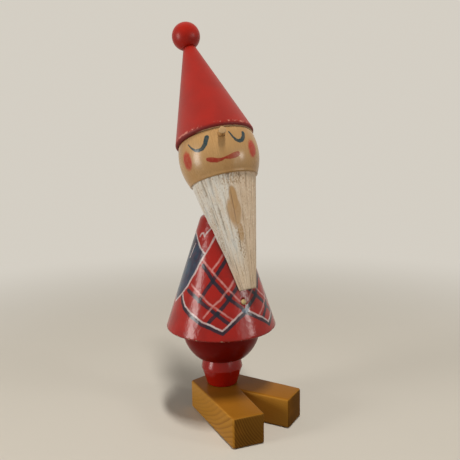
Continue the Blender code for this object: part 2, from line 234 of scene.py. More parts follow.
# Brush strokes of the face: turn from the nose, height and width.
LEFT_EYE = [
    (-52.0, 8.6, 0.35), (-46.5, 6.1, 0.6), (-41.0, 4.4, 0.9), (-35.5, 3.75, 1.15),
    (-30.0, 4.1, 1.35), (-25.0, 5.8, 1.55), (-21.3, 8.7, 1.7),
]
RIGHT_EYE = [
    (11.0, 9.6, 0.45), (14.5, 7.0, 0.7), (18.5, 5.2, 1.0), (23.0, 4.65, 1.3),
    (28.0, 5.2, 1.4), (32.0, 6.8, 1.4), (34.0, 8.8, 1.4),
]
MOUTH = [
    (-26.0, -1.4, 1.2), (-21.5, -1.9, 1.7), (-14.0, -2.75, 1.5), (-7.0, -2.75, 1.0),
    (-2.0, -2.35, 0.7), (5.0, -2.25, 1.5), (12.0, -1.75, 1.9), (17.5, -1.3, 1.6),
]
CHEEK_SPOTS = [(-60.0, 1.5), (46.0, 1.3)]
FACE_REACH = 19.6
FACE_BRUSH = 1.38

# Where the beard's paint has gone or is rubbed: turn, height, spread round, spread up and share.
BALD_PATCHES = [
    (-24.0, -20.5, 8.0, 6.0, 1.0), (-27.0, -26.5, 15.0, 7.0, 0.9), (-20.0, -36.0, 7.0, 5.0, 0.7),
]
RUBBED_PATCHES = [
    (-21.0, -11.5, 22.0, 3.4, 1.0), (-87.0, -37.0, 9.0, 12.0, 1.0), (-22.0, -40.0, 12.0, 9.0, 1.0),
]

# The board that the feet were sawn from: the middle of its rings, and their width.
PITH_X = 14.0
PITH_Z = 25.0
RING_WIDTH = 1.1

# Colours that only one finish has.
SLEEVE_DARK = (0.006, 0.016, 0.040)
SLEEVE_LIGHT = (0.018, 0.060, 0.108)
DAB_BLUE = (0.035, 0.085, 0.14)
COAT_CHIP = (0.55, 0.33, 0.23)
HAT_CHIP_AND_GLINT = (0.62, 0.24, 0.18)
BEARD_SHADE = (0.42, 0.45, 0.47)
BUTTON_GRIME = (0.035, 0.022, 0.012)
NOSE_END = (0.56, 0.42, 0.27)

# The camera as it stood before the feet, and lamps round the figure: turn from the camera
# towards the right of the picture, rise, distance in metres, width, height and power.
CAMERA_PLACE = (0.0, -277.0, 135.07)
CAMERA_YAW = 1.07
CAMERA_PITCH = 8.44
CAMERA_ROLL = 0.85
CAMERA_LENS = 44.03
SENSOR_WIDTH = 36.0
LAMP_TARGET = 100.0
LAMPS = {
    "left_window": (-66.0, 5.0, 0.70, 0.20, 0.34, 2.6),
    "right_window": (46.0, 10.0, 0.80, 0.14, 0.30, 0.32),
    "right_lamp": (65.0, 12.0, 0.80, 0.12, 0.08, 0.95),
    "ceiling_lamp": (15.0, 77.0, 0.80, 0.07, 0.26, 4.7),
}
LAMP_COLOUR = (1.0, 0.97, 0.92)
ROOM_FILL = 0.26
FLOOR_BOUNCE = 0.35
FLOOR_FADE = (120.0, 450.0)
FLOOR_RADIUS = 4000.0
FLOOR_DROP = 0.05


def user_colour(name, description, default):
    """A colour that a user may change."""
    return FloatVectorProperty(
        name=name, description=description, default=default,
        subtype="COLOR", size=3, min=0.0, max=1.0)


class TomtePaints(PropertyGroup):
    """Colours of the paints and woods."""

    hat_red: user_colour("Hat red", "Satin red of the hat and ball", (0.330, 0.009, 0.003))
    coat_red: user_colour("Coat red", "Glossy red of the coat, hips and leg", (0.33, 0.007, 0.003))
    navy: user_colour("Navy", "Dark blue of the sleeves and stripes", (0.005, 0.010, 0.023))
    line_white: user_colour("Line white", "White of the thin plaid lines", (0.62, 0.50, 0.49))
    eye_blue: user_colour("Eye blue", "Dark blue of the closed eyes", (0.002, 0.038, 0.055))
    face_red: user_colour("Face red", "Red of the mouth and cheeks", (0.33, 0.014, 0.004))
    honey: user_colour("Honey wood", "Lacquered wood of the head and nose", (0.53, 0.31, 0.125))
    beard_white: user_colour("Beard white", "Worn paint of the beard", (0.84, 0.775, 0.66))
    pine: user_colour("Pine", "Lacquered pine of the feet", (0.46, 0.212, 0.029))
    bare_wood: user_colour("Bare wood", "Unpainted wood under chips and of the dowels", (0.62, 0.46, 0.29))
    button_yellow: user_colour("Button yellow", "Dull yellow of the button", (0.62, 0.45, 0.21))
    floor_pale: user_colour("Pale floor", "Colour of the floor and the room", (0.66, 0.62, 0.55))


class TomteWork(PropertyGroup):
    """How finely the pieces are worked and how worn they are."""

    groove_depth: FloatProperty(
        name="Groove depth", description="Deepest cut between the strands of the beard",
        unit="LENGTH", min=0.0, max=0.0012, default=0.0007)
    groove_count: IntProperty(
        name="Grooves", description="Main grooves round the beard", min=8, max=40, default=22)
    paint_wear: FloatProperty(
        name="Paint wear", description="How much paint is worn off the beard and the rims",
        subtype="FACTOR", min=0.0, max=1.0, default=0.5)
    hat_roughness: FloatProperty(
        name="Hat roughness", description="Roughness of the satin paint on the hat",
        subtype="FACTOR", min=0.0, max=1.0, default=0.40)
    coat_roughness: FloatProperty(
        name="Coat roughness", description="Roughness of the glossy paint on the coat",
        subtype="FACTOR", min=0.0, max=1.0, default=0.20)


def both_ways(operation):
    """An operator between a wire and a value, and its reflected form."""

    def plain(wire, other):
        return wire.maths(operation, wire, other)

    def reflected(wire, other):
        return wire.maths(operation, other, wire)

    return plain, reflected


class Wire:
    """A socket of a node tree that takes part in Python expressions."""

    def __init__(self, tree, socket=None):
        self.tree = tree
        self.socket = socket

    def node(self, kind, settings=None, sockets=None, output=0):
        """Add a node: its type, its settings, then the values or links of its sockets."""
        made = self.tree.nodes.new(kind)
        for name, value in (settings or {}).items():
            setattr(made, name, value)
        for name, value in (sockets or {}).items():
            if isinstance(value, Wire):
                self.tree.links.new(value.socket, made.inputs[name])
            else:
                made.inputs[name].default_value = value
        return Wire(self.tree, made.outputs[output])

    def maths(self, operation, *terms):
        """Add a Math node."""
        return self.node("ShaderNodeMath", {"operation": operation}, dict(enumerate(terms)))

    __add__, __radd__ = both_ways("ADD")
    __sub__, __rsub__ = both_ways("SUBTRACT")
    __mul__, __rmul__ = both_ways("MULTIPLY")
    __truediv__, __rtruediv__ = both_ways("DIVIDE")
    __pow__, __rpow__ = both_ways("POWER")

    def __neg__(self):
        return self.maths("MULTIPLY", self, -1.0)

    def __abs__(self):
        return self.maths("ABSOLUTE", self)

    def least(self, other):
        return self.maths("MINIMUM", self, other)

    def most(self, other):
        return self.maths("MAXIMUM", self, other)

    def smooth(self, low, high):
        """Rise softly from 0 at low to 1 at high. Low may be the larger of the two."""
        return self.node(
            "ShaderNodeMapRange", {"interpolation_type": "SMOOTHSTEP"},
            {"Value": self, "From Min": low, "From Max": high})

    def clamped(self):
        return self.node("ShaderNodeClamp", None, {"Value": self})

    def blend(self, under, over):
        """Mix two colours by this mask."""
        return self.node(
            "ShaderNodeMix", {"data_type": "RGBA"}, {0: self, 6: opaque(under), 7: opaque(over)}, 2)

    def vector(self, operation, *terms, output=0):
        """Add a Vector Math node with this vector as its first term."""
        sockets = {index + 1: term for index, term in enumerate(terms)}
        sockets[0] = self
        return self.node("ShaderNodeVectorMath", {"operation": operation}, sockets, output)

    def along(self, direction):
        """A fixed direction scaled by this value."""
        return self.node(
            "ShaderNodeVectorMath", {"operation": "SCALE"}, {0: direction, "Scale": self})

    def parts(self):
        """The x, y and z values of this vector."""
        split = self.node("ShaderNodeSeparateXYZ", None, {0: self})
        return [Wire(self.tree, socket) for socket in split.socket.node.outputs]

    def joined(self, second):
        """A flat vector with this value as its x."""
        return self.node("ShaderNodeCombineXYZ", None, {0: self, 1: second})

    def speckle(self, size, detail=3.0, stretch=(1.0, 1.0, 1.0), shift=(0.0, 0.0, 0.0)):
        """Soft noise at this place, with spots of about a size that may be stretched."""
        scale = [1.0 / (size * part) for part in stretch]
        moved = self.node(
            "ShaderNodeMapping", None, {"Vector": self, "Location": shift, "Scale": scale})
        return self.node(
            "ShaderNodeTexNoise", None, {"Vector": moved, "Scale": 1.0, "Detail": detail})


def opaque(colour):
    """A colour with its alpha, or the wire that carries one."""
    return colour if isinstance(colour, Wire) else (*colour, 1.0)


def tinted(colour, factor):
    """A colour made lighter or darker."""
    return tuple(min(1.0, part * factor) for part in colour)


def toned(colour, tint):
    """A colour with its red, green and blue scaled one by one."""
    return tuple(part * factor for part, factor in zip(colour, tint))


def start_finish(name):
    """Begin a material and give the place on its piece, in millimetres."""
    made = bpy.data.materials.new(name)
    made.use_nodes = True
    tree = made.node_tree
    place = Wire(tree).node("ShaderNodeTexCoord", output="Object")
    return made, place.node(
        "ShaderNodeVectorMath", {"operation": "SCALE"}, {0: place, "Scale": 1.0 / MM})


def end_finish(made, colour, roughness, relief=None, depth=0.0, specular=0.5):
    """Lead a finish's colour, roughness and relief into its shader."""
    tree = made.node_tree
    shader = tree.nodes["Principled BSDF"]
    tree.links.new(colour.socket, shader.inputs["Base Color"])
    tree.links.new(roughness.socket, shader.inputs["Roughness"])
    shader.inputs["Specular IOR Level"].default_value = specular
    if relief:
        bump = relief.node("ShaderNodeBump", None, {"Height": relief, "Distance": depth * MM})
        tree.links.new(bump.socket, shader.inputs["Normal"])
    return made


def brush(place, points):
    """Distance from the edge of a brush stroke through points of x, y and width."""
    nearest = None
    for start, end in zip(points, points[1:]):
        run = Vector((end[0] - start[0], end[1] - start[1], 0.0))
        ahead = place.vector("SUBTRACT", (start[0], start[1], 0.0))
        share = ahead.vector("DOT_PRODUCT", run / run.length_squared, output=1).clamped()
        away = ahead.vector("SUBTRACT", share.along(run)).vector("LENGTH", output=1)
        edge = away - (share * ((end[2] - start[2]) / 2.0) + start[2] / 2.0)
        nearest = nearest.least(edge) if nearest else edge
    return nearest


def beside(place, start, end):
    """Signed distance from a straight line, positive on its left."""
    across = Vector((start[1] - end[1], end[0] - start[0], 0.0)).normalized()
    ahead = place.vector("SUBTRACT", (start[0], start[1], 0.0))
    return ahead.vector("DOT_PRODUCT", across, output=1)


def round_turn(place):
    """The turn about a piece's axis from its front, in radians."""
    x, y = place.parts()[:2]
    return x.maths("ARCTAN2", x, -y)


def brush_marks(place):
    """Faint marks that a brush or sandpaper leaves round a turned piece."""
    return place.speckle(0.5, 2.0, (9.0, 9.0, 1.0))


def red_enamel(name, red, roughness, gloss_level=0.3):
    """Red paint with faint brush marks and dust."""
    made, place = start_finish(name)
    cloud = place.speckle(9.0, 3.0)
    marks = brush_marks(place)
    colour = cloud.smooth(0.3, 0.7).blend(tinted(red, 0.9), tinted(red, 1.08))
    gloss = cloud * 0.1 + marks * 0.06 + (roughness - 0.08)
    relief = marks * 0.5 + place.speckle(2.2, 2.0)
    return end_finish(made, colour, gloss, relief, 0.03, gloss_level)


def hat_paint(paints, roughness):
    """The hat's satin red with painted shade and bare wood under its rounded rim, and small chips and
    painted glints along it.
    """
    made, place = start_finish("hat_red")
    x, y, z = place.parts()
    rise = z + x * math.tan(math.radians(HAT_SLANT)) - SEAT_GAP
    cloud = place.speckle(10.0, 3.0)
    fine = place.speckle(1.3, 4.0)
    marks = brush_marks(place)
    red = paints.hat_red
    colour = cloud.smooth(0.3, 0.7).blend(tinted(red, 0.92), tinted(red, 1.08))
    # Painted shade under the rounded rim: the red turns deeper and then darker towards the rim's lowest
    # edge.
    under = (rise + fine * 0.8).smooth(2.4, 1.7) * 0.78
    colour = under.blend(colour, toned(red, (0.95, 0.3, 0.3)))
    edge = (rise + (fine - 0.5) * 0.6).smooth(2.9, 0.3) * 0.85
    colour = edge.blend(colour, toned(red, (0.36, 0.2, 0.1)))
    # Chips along the rim's upper edge, partly real chips and partly painted glints, pink and densest at
    # two places round the hat.
    turn = round_turn(place)
    worn = abs(turn + 1.38).smooth(0.6, 0.1).most(abs(turn - 0.16).smooth(0.5, 0.1))
    chip = (fine + worn * 0.14).smooth(0.62, 0.70) * abs(rise - 2.1).smooth(0.8, 0.25)
    colour = (chip * 0.8).blend(colour, HAT_CHIP_AND_GLINT)
    bare = (rise + (fine - 0.5) * 0.3).smooth(0.26, 0.16) * (x * 0.34 - y * 0.94).smooth(2.0, 9.0)
    colour = (bare * 0.88).blend(colour, tinted(paints.bare_wood, 1.08))
    gloss = cloud * 0.1 + marks * 0.06 + chip * 0.1 + edge * 0.35 + (roughness - 0.08)
    relief = marks * 0.5 + place.speckle(2.2, 2.0) - chip * 1.5
    return end_finish(made, colour, gloss, relief, 0.03, 0.55)


def on_coat(turn, height):
    """Where a point of the coat lies when its cone is unrolled."""
    spread = math.radians(turn) * math.sin(COAT_SLOPE)
    reach = (COAT_APEX - height) / math.cos(COAT_SLOPE)
    return reach * math.sin(spread), reach * math.cos(spread)


def coat_stroke(place, points, start_width, end_width=None):
    """A stroke on the unrolled coat."""
    growth = ((end_width or start_width) - start_width) / (len(points) - 1)
    laid = [(*on_coat(*point), start_width + growth * step) for step, point in enumerate(points)]
    return brush(place, laid)


def plaid_paint(paints, work):
    """The coat's red with the plaid vest, dark sleeves and white lines."""
    made, place = start_finish("plaid_coat_paint")
    z = place.parts()[2]
    middle = math.radians(ARM_MIDDLE)
    around = round_turn(place)
    front = around.most(0.0).least(middle) * (math.pi / middle)
    widened = front.maths("SINE", front) * math.radians(WIDER_LEFT)
    turn = middle - abs(middle - abs(around)) - widened
    spread = turn * math.sin(COAT_SLOPE)
    reach = (COAT_APEX - z) / math.cos(COAT_SLOPE)
    hand = place.node(
        "ShaderNodeTexNoise", None, {"Vector": place, "Scale": 0.22, "Detail": 2.0}, output=1)
    sway = hand.vector("SUBTRACT", (0.5, 0.5, 0.5)).vector("MULTIPLY", (0.9, 0.9, 0.0))
    flat = (reach * spread.maths("SINE", spread)).joined(reach * spread.maths("COSINE", spread))
    flat = flat.vector("ADD", sway)
    cloud = place.speckle(8.0, 3.0)
    fine = place.speckle(0.9, 4.0)
    rough_edge = (fine - 0.5) * 0.5

    def mask(stroke, soft=0.16):
        return (stroke + rough_edge).smooth(soft, -soft)

    thin = place.speckle(3.0, 4.0).smooth(0.30, 0.62)
    rosy = toned(paints.line_white, (1.0, 0.56, 0.53))
    colour = cloud.smooth(0.3, 0.7).blend(tinted(paints.coat_red, 0.88), tinted(paints.coat_red, 1.1))
    for stripe in NAVY_STRIPES:
        share = mask(coat_stroke(flat, stripe, *NAVY_WIDTHS)) * (thin * 0.12 + 0.84)
        colour = share.blend(colour, paints.navy)
    for stripe in WHITE_STRIPES:
        share = mask(coat_stroke(flat, stripe, *WHITE_WIDTHS), 0.3) * (thin * 0.45 + 0.38)
        colour = share.blend(colour, rosy)
    sleeve = None
    for start, end in zip(SLEEVE_EDGE, SLEEVE_EDGE[1:]):
        edge = beside(flat, on_coat(*start), on_coat(*end))
        sleeve = sleeve.most(edge) if sleeve else edge
    collar = beside(flat, on_coat(*COLLAR_EDGE[-1]), on_coat(*COLLAR_EDGE[0]))
    arm = mask(sleeve.most(collar)) * (thin * 0.1 + 0.88)
    colour = arm.blend(colour, cloud.smooth(0.3, 0.75).blend(SLEEVE_DARK, SLEEVE_LIGHT))
    under_hem = [(side, height - HEM_SHADOW_DROP) for side, height in HEM_LINE]
    share = mask(coat_stroke(flat, under_hem, *HEM_SHADOW_WIDTHS)) * (thin * 0.1 + 0.86)
    colour = share.blend(colour, paints.navy)
    for line, width in VEST_LINES:
        share = mask(coat_stroke(flat, line, width), 0.2) * (thin * 0.3 + 0.62)
        colour = share.blend(colour, paints.line_white)
    colour = (mask(coat_stroke(flat, NOTCH_DAB, DAB_WIDTH)) * 0.85).blend(colour, DAB_BLUE)
    near_hem = abs(z - COAT_BASE - 0.3).smooth(1.1, 0.3)
    worn_side = abs(around + math.radians(80.0)).smooth(0.8, 0.1)
    chip = place.speckle(1.8, 4.0) + near_hem * 0.12 + worn_side * 0.17 + fine * 0.12
    chip = (chip + (work.paint_wear - 0.5) * 0.2).smooth(0.82, 0.86) * near_hem.smooth(0.05, 0.25)
    colour = (chip * 0.8).blend(colour, COAT_CHIP)
    marks = brush_marks(place)
    gloss = cloud * 0.1 + marks * 0.05 + chip * 0.3 + (work.coat_roughness - 0.07)
    relief = marks * 0.4 - chip * 1.5
    relief = relief + place.speckle(2.5, 3.0) * 1.6 + place.speckle(1.1, 2.0) * 0.6
    return end_finish(made, colour, gloss, relief, 0.10, 0.36)


def honey_wood(paints, name="honey_wood"):
    """Start the lacquered wood: the material, the place on the piece, the colour and the grain."""
    made, place = start_finish(name)
    fibre = place.speckle(0.55, 4.0, (1.0, 1.0, 14.0))
    cloud = place.speckle(7.0, 2.0, (1.0, 1.0, 2.0))
    wood = fibre.smooth(0.25, 0.75).blend(tinted(paints.honey, 0.93), tinted(paints.honey, 1.04))
    stained = toned(paints.honey, (0.88, 0.78, 0.66))
    return made, place, (cloud.smooth(0.35, 0.75) * 0.6).blend(wood, stained), fibre


def face_finish(paints):
    """Honey wood with the painted eyes, mouth and cheeks."""
    made, place, colour, fibre = honey_wood(paints)
    z = place.parts()[2]
    turn = round_turn(place) - math.radians(FACE_TURN)
    sway = place.speckle(2.5, 2.0) - 0.5
    flat = (turn * FACE_REACH + sway * 0.35).joined(z + sway * 0.25)
    fine = place.speckle(0.5, 4.0)
    thin = place.speckle(1.6, 4.0).smooth(0.3, 0.6)

    def stroke(points):
        laid = [
            (math.radians(side) * FACE_REACH, height, width * FACE_BRUSH)
            for side, height, width in points
        ]
        return (brush(flat, laid) + (fine - 0.5) * 0.3).smooth(0.16, -0.16)

    lips = stroke(MOUTH)
    pressed = lips
    for spot_turn, spot_height in CHEEK_SPOTS:
        centre = (math.radians(spot_turn) * FACE_REACH, spot_height, 0.0)
        away = flat.vector("SUBTRACT", centre).vector("MULTIPLY", (1.0, 0.72, 0.0))
        away = away.vector("LENGTH", output=1) + (place.speckle(1.8, 3.0) - 0.5) * 1.5
        spot = away.smooth(3.9, 2.2) * (thin * 0.15 + 0.78)
        colour = spot.blend(colour, tinted(paints.face_red, 1.4))
        pressed = pressed + spot * 0.5
    pale_side = flat.parts()[0].smooth(-1.0, 3.0)
    colour = (lips * (thin * 0.15 + 0.80 - pale_side * 0.12)).blend(colour, paints.face_red)
    for eye in (LEFT_EYE, RIGHT_EYE):
        lid = stroke(eye)
        colour = (lid * (thin * 0.1 + 0.87)).blend(colour, paints.eye_blue)
        pressed = pressed + lid
    relief = fibre * 0.7 + pressed * 0.8
    gloss = fibre * 0.08 + place.speckle(5.0) * 0.14 + 0.15
    return end_finish(made, colour, gloss, relief, 0.02, 0.42)


def nose_finish(paints):
    """Honey wood with faint rings on the sawn end."""
    made, place, colour, fibre = honey_wood(paints, "nose_wood")
    x, y, z = place.parts()
    reach = (x * x + y * y) ** 0.5
    rings = reach.maths("SINE", reach * 9.0 + fibre * 2.0)
    end = z.smooth(NOSE_PROUD - 0.5, NOSE_PROUD - 0.2)
    colour = (end * (rings * 0.1 + 0.3)).blend(colour, NOSE_END)
    return end_finish(made, colour, fibre * 0.15 + 0.3, fibre, 0.04)


def beard_finish(paints, work):
    """Off-white paint, brushed down the strands, flaked and worn to the wood."""
    made, place, wood = honey_wood(paints, "beard_paint")[:3]
    z = place.parts()[2]
    turn = round_turn(place)
    strand = (turn * BEARD_MEAN_RADIUS).joined(z)
    streak = strand.speckle(0.7, 5.0, (1.0, 8.0, 1.0))
    smear = strand.speckle(2.2, 4.0, (1.0, 4.0, 1.0), (31.0, 7.0, 0.0))
    flake = strand.speckle(0.55, 3.0, (1.0, 1.9, 1.0), (3.0, 19.0, 0.0))
    groove = place.node("ShaderNodeAttribute", {"attribute_name": "groove"}, output="Fac")
    degrees = turn * (180.0 / math.pi)
    uneven = (smear - 0.5) * 1.8 + (flake - 0.5) * 0.5

    def worn(patches):
        """1 inside the patches, with ragged edges."""
        gone = None
        for turn_to, height, wide, tall, strength in patches:
            across = (degrees - turn_to) / wide
            up = (z - height) / tall
            spot = (across * across + up * up + uneven).smooth(1.5, 0.6) * strength
            gone = gone.most(spot) if gone else spot
        return gone

    bald = worn(BALD_PATCHES)
    rubbed = worn(RUBBED_PATCHES)
    # Painted reflection of the red coat: the right side and the tip are warmer than the cooler left side.
    side = degrees.smooth(-38.0, -2.0).most(z.smooth(-44.0, -57.0) * 0.7)
    white = paints.beard_white
    cool = toned(white, (0.95, 0.985, 1.05))
    coat_reflection_tint = toned(white, (0.97, 0.83, 0.72))
    thin = toned(white, (0.82, 0.66, 0.50))
    colour = side.blend(cool, coat_reflection_tint)
    # Towards the tip the paint turns darker and browner.
    colour = (z.smooth(-38.0, -58.0) * 0.34).blend(colour, thin)
    colour = (smear.smooth(0.40, 0.75) * 0.5).blend(colour, thin)
    colour = (streak.smooth(0.45, 0.70) * (side * 0.25 + 0.28)).blend(colour, thin)
    shade = strand.speckle(1.9, 2.0, (1.0, 9.0, 1.0), (77.0, 3.0, 0.0))
    shade = shade.smooth(0.55, 0.72) * (1.0 - side)
    colour = (shade * 0.5).blend(colour, BEARD_SHADE)
    chips = flake + rubbed * 0.10 + streak * 0.2 + (work.paint_wear - 0.5) * 0.2
    chips = chips.smooth(0.69, 0.79)
    colour = (chips * 0.65).blend(colour, tinted(paints.honey, 0.78))
    colour = (flake.smooth(0.42, 0.30) * 0.7).blend(colour, tinted(white, 1.22))
    colour = (bald * 0.92).blend(colour, wood)
    # Painted shade in the grooves between the strands: they are darkened with a dark brown.
    groove_shade = groove.smooth(0.3, 0.95) * streak.smooth(0.3, 0.6) * 0.5
    grime = toned(paints.honey, (0.42, 0.46, 0.62))
    colour = groove_shade.blend(colour, grime)
    gloss = 0.60 - bald * 0.25 + flake * 0.1
    relief = streak + flake * 1.4 - chips - bald * 0.8
    return end_finish(made, colour, gloss, relief, 0.10, 0.3)


def bare_wood(paints, name="bare_dowel"):
    """Plain unpainted beech with short flecks."""
    made, place = start_finish(name)
    fibre = place.speckle(0.5, 4.0, (1.0, 1.0, 12.0))
    fleck = place.speckle(0.35, 2.0, (1.0, 1.0, 4.0)).smooth(0.62, 0.7)
    colour = fibre.smooth(0.25, 0.75).blend(tinted(paints.bare_wood, 0.85), paints.bare_wood)
    colour = (fleck * 0.5).blend(colour, tinted(paints.bare_wood, 0.6))
    return end_finish(made, colour, fibre * 0.15 + 0.55, fibre, 0.03)


def pine_finish(paints):
    """Lacquered pine, sawn from one board: growth rings along the feet, darker end grain, and painted
    shade on the tops and toe ends.
    """
    made, place = start_finish("lacquered_pine")
    x, y, z = place.parts()
    bend = place.speckle(14.0, 2.0, (1.0, 4.0, 1.0)) * 1.6
    out = x - PITH_X
    up = z - PITH_Z
    away = (out * out + up * up) ** 0.5
    rings = (away + y * 0.02 + bend) / RING_WIDTH
    share = rings.maths("FRACT", rings)
    late = share.smooth(0.30, 0.88) * share.smooth(1.0, 0.93)
    strength = rings.maths("FLOOR", rings).joined(0.5).speckle(0.37, 0.0)
    late = late * (away.smooth(27.0, 41.0) * 0.8 + 0.2)
    fibre = place.speckle(0.35, 4.0, (1.0, 16.0, 1.0))
    pale = tinted(paints.pine, 1.06)
    dark = toned(paints.pine, (0.62, 0.50, 0.34))
    facing = place.node("ShaderNodeTexCoord", output="Normal").parts()
    # The upward faces show fainter rings, and their darker tone is painted shade.
    top_grain_and_shade = abs(facing[2]).smooth(0.5, 0.9)
    colour = (late * (strength * 0.8 + 0.15) * (1.0 - top_grain_and_shade * 0.75)).blend(pale, dark)
    colour = (fibre.smooth(0.3, 0.75) * 0.25).blend(colour, tinted(paints.pine, 0.75))
    colour = (top_grain_and_shade * 0.76).blend(colour, toned(paints.pine, (0.55, 0.42, 0.22)))
    # The toe ends are darker, as end grain is and partly as painted shade; the right toe is darker still,
    # as painted shade.
    end_grain_and_shade = abs(facing[1]).smooth(0.6, 0.85)
    right_toe_shade = x.smooth(2.0, 12.0) * (1.0 - late) * 0.2
    colour = (end_grain_and_shade * (0.72 + late * 0.24 + right_toe_shade)).blend(colour, tinted(dark, 0.34))
    amber = place.speckle(11.0, 2.0).smooth(0.4, 0.75)
    colour = (amber * 0.25).blend(colour, toned(paints.pine, (0.85, 0.7, 0.55)))
    gloss = fibre * 0.12 - late * 0.05 + end_grain_and_shade * 0.35 + 0.30
    return end_finish(made, colour, gloss, fibre * 0.6 + late * 0.6, 0.03, 0.06)


def button_finish(paints):
    """Dull yellow paint of uneven tone, with dark grime round the edge."""
    made, place = start_finish("yellow_button")
    x, y = place.parts()[:2]
    reach = (x * x + y * y) ** 0.5
    fine = place.speckle(0.5, 4.0)
    colour = fine.smooth(0.3, 0.7).blend(tinted(paints.button_yellow, 0.8), paints.button_yellow)
    grime = (reach + (fine - 0.5) * 0.4).smooth(1.25, 1.5)
    colour = grime.blend(colour, BUTTON_GRIME)
    return end_finish(made, colour, fine * 0.2 + 0.3, fine, 0.05)


def seen_rays(tree):
    """1 for the rays that show a surface, and 0 for those that only light another."""
    seen = Wire(tree).node("ShaderNodeLightPath", output="Is Camera Ray")
    outputs = seen.socket.node.outputs
    for name in ("Is Glossy Ray", "Is Transmission Ray"):
        seen = seen.most(Wire(tree, outputs[name]))
    return seen


def floor_finish(paints):
    """A plain pale floor that keeps the shadow and fades into the room."""
    made, place = start_finish("pale_floor")
    tree = made.node_tree
    seen = seen_rays(tree)
    cloud = place.speckle(60.0, 2.0)
    pale = cloud.blend(tinted(paints.floor_pale, 0.985), tinted(paints.floor_pale, 1.015))
    colour = seen.blend(tinted(paints.floor_pale, FLOOR_BOUNCE), pale)
    end_finish(made, colour, cloud * 0.1 + 0.8, None, 0.0, 0.2)
    far = place.vector("LENGTH", output=1).smooth(*FLOOR_FADE) * seen
    glow = place.node("ShaderNodeEmission", None, {"Color": opaque(paints.floor_pale)})
    matte = Wire(tree, tree.nodes["Principled BSDF"].outputs[0])
    faded = far.node("ShaderNodeMixShader", None, {0: far, 1: matte, 2: glow})
    tree.links.new(faded.socket, tree.nodes["Material Output"].inputs["Surface"])
    return made


def softened(corners, steps=6):
    """Round the corners of an outline where they give a fillet as their third number."""
    points = []
    for index, corner in enumerate(corners):
        here = Vector(corner[:2])
        if len(corner) == 2:
            points.append(tuple(here))
            continue
        before = (Vector(corners[index - 1][:2]) - here).normalized()
        after = (Vector(corners[(index + 1) % len(corners)][:2]) - here).normalized()
        half = before.angle(after) / 2.0
        centre = here + (before + after).normalized() * (corner[2] / math.sin(half))
        first = here + before * (corner[2] / math.tan(half)) - centre
        last = here + after * (corner[2] / math.tan(half)) - centre
        for step in range(steps + 1):
            share = step / steps
            spoke = (first * (1.0 - share) + last * share).normalized() * corner[2]
            points.append(tuple(centre + spoke))
    return points


def fine_line(outline, step):
    """Split the long runs of an outline."""
    points = [outline[0]]
    for start, end in zip(outline, outline[1:]):
        count = max(1, math.ceil(math.dist(start, end) / step))
        for part in range(1, count + 1):
            share = part / count
            points.append(tuple(a + (b - a) * share for a, b in zip(start, end)))
    return points


def circle_line(centre, radius, start, end, steps):
    """Points of an outline along a circle, between two angles."""
    angles = [start + (end - start) * step / steps for step in range(steps + 1)]
    return [
        (centre[0] + radius * math.cos(angle), centre[1] + radius * math.sin(angle))
        for angle in angles
    ]


def turned(outline, sides, shape=None):
    """Turn an outline about Z. A shape function may move each point by its turn and place."""
    made = bmesh.new()
    rings = []
    for radius, height in outline:
        ring = []
        for side in range(sides if radius > 0.0 else 1):
            turn = 2.0 * math.pi * side / sides
            reach, rise = shape(turn, radius, height) if shape else (radius, height)
            spot = (reach * math.sin(turn) * MM, -reach * math.cos(turn) * MM, rise * MM)
            ring.append(made.verts.new(spot))
        rings.append(ring)
    pairs = list(zip(rings, rings[1:]))
    if outline[0][0] > 0.0:
        pairs.append((rings[-1], rings[0]))
    for low, high in pairs:
        for side in range(sides):
            follow = (side + 1) % sides
            loop = [
                low[side % len(low)], low[follow % len(low)],
                high[follow % len(high)], high[side % len(high)]]
            made.faces.new(list(dict.fromkeys(loop)))
    bmesh.ops.recalc_face_normals(made, faces=made.faces)
    return made


def piece(name, shape, finish, place=None):
    """Make a named object of a bmesh, at a place in the frame."""
    mesh = bpy.data.meshes.new(name)
    shape.to_mesh(mesh)
    shape.free()
    mesh.shade_smooth()
    mesh.set_sharp_from_angle(angle=SHARP_ANGLE)
    made = bpy.data.objects.new(name, mesh)
    bpy.context.scene.collection.objects.link(made)
    made.matrix_world = place or Matrix.Identity(4)
    if finish:
        mesh.materials.append(finish)
    return made


def stands_for(made, node, body):
    """Let a finished piece take the place of a CAD node."""
    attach(made, body)
    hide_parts(node)


def carve(made, *tools):
    """Cut tools out of a piece for good, and take the tools away."""
    for tool in tools:
        cut = made.modifiers.new(tool.name, "BOOLEAN")
        cut.operation = "DIFFERENCE"
        cut.solver = "EXACT"
        cut.object = tool
    bpy.context.view_layer.update()
    cut_piece = made.evaluated_get(bpy.context.evaluated_depsgraph_get())
    result = bpy.data.meshes.new_from_object(cut_piece)
    plain = made.data
    made.modifiers.clear()
    made.data = result
    result.name = made.name
    bpy.data.meshes.remove(plain)
    for tool in tools:
        bpy.data.meshes.remove(tool.data)


def bore(name, radius, low, high, place=None):
    """A tool that cuts a round hole along Z."""
    outline = [(0.0, low), (radius, low), (radius, high), (0.0, high)]
    return piece(name, turned(outline, PEG_SIDES), None, place)


def turn_frame(turn):
    """A frame that is turned about the upright axis."""
    return Matrix.Rotation(math.radians(turn), 4, "Z")


def pitch_frame(angle):
    """A frame that is pitched about X."""
    return Matrix.Rotation(math.radians(angle), 4, "X")


def tilt_frame(place, turns):
    """A frame at a place, turned by three angles."""
    turned_by = Euler([math.radians(angle) for angle in turns]).to_matrix().to_4x4()
    return Matrix.Translation(Vector(place) * MM) @ turned_by


def head_frame():
    """The frame of the leaning head."""
    leaning = tilt_frame((HEAD_OFFSET, 0.0, HEAD_HEIGHT), (-HEAD_LEAN, 0.0, 0.0))
    return turn_frame(HEAD_TURN) @ leaning


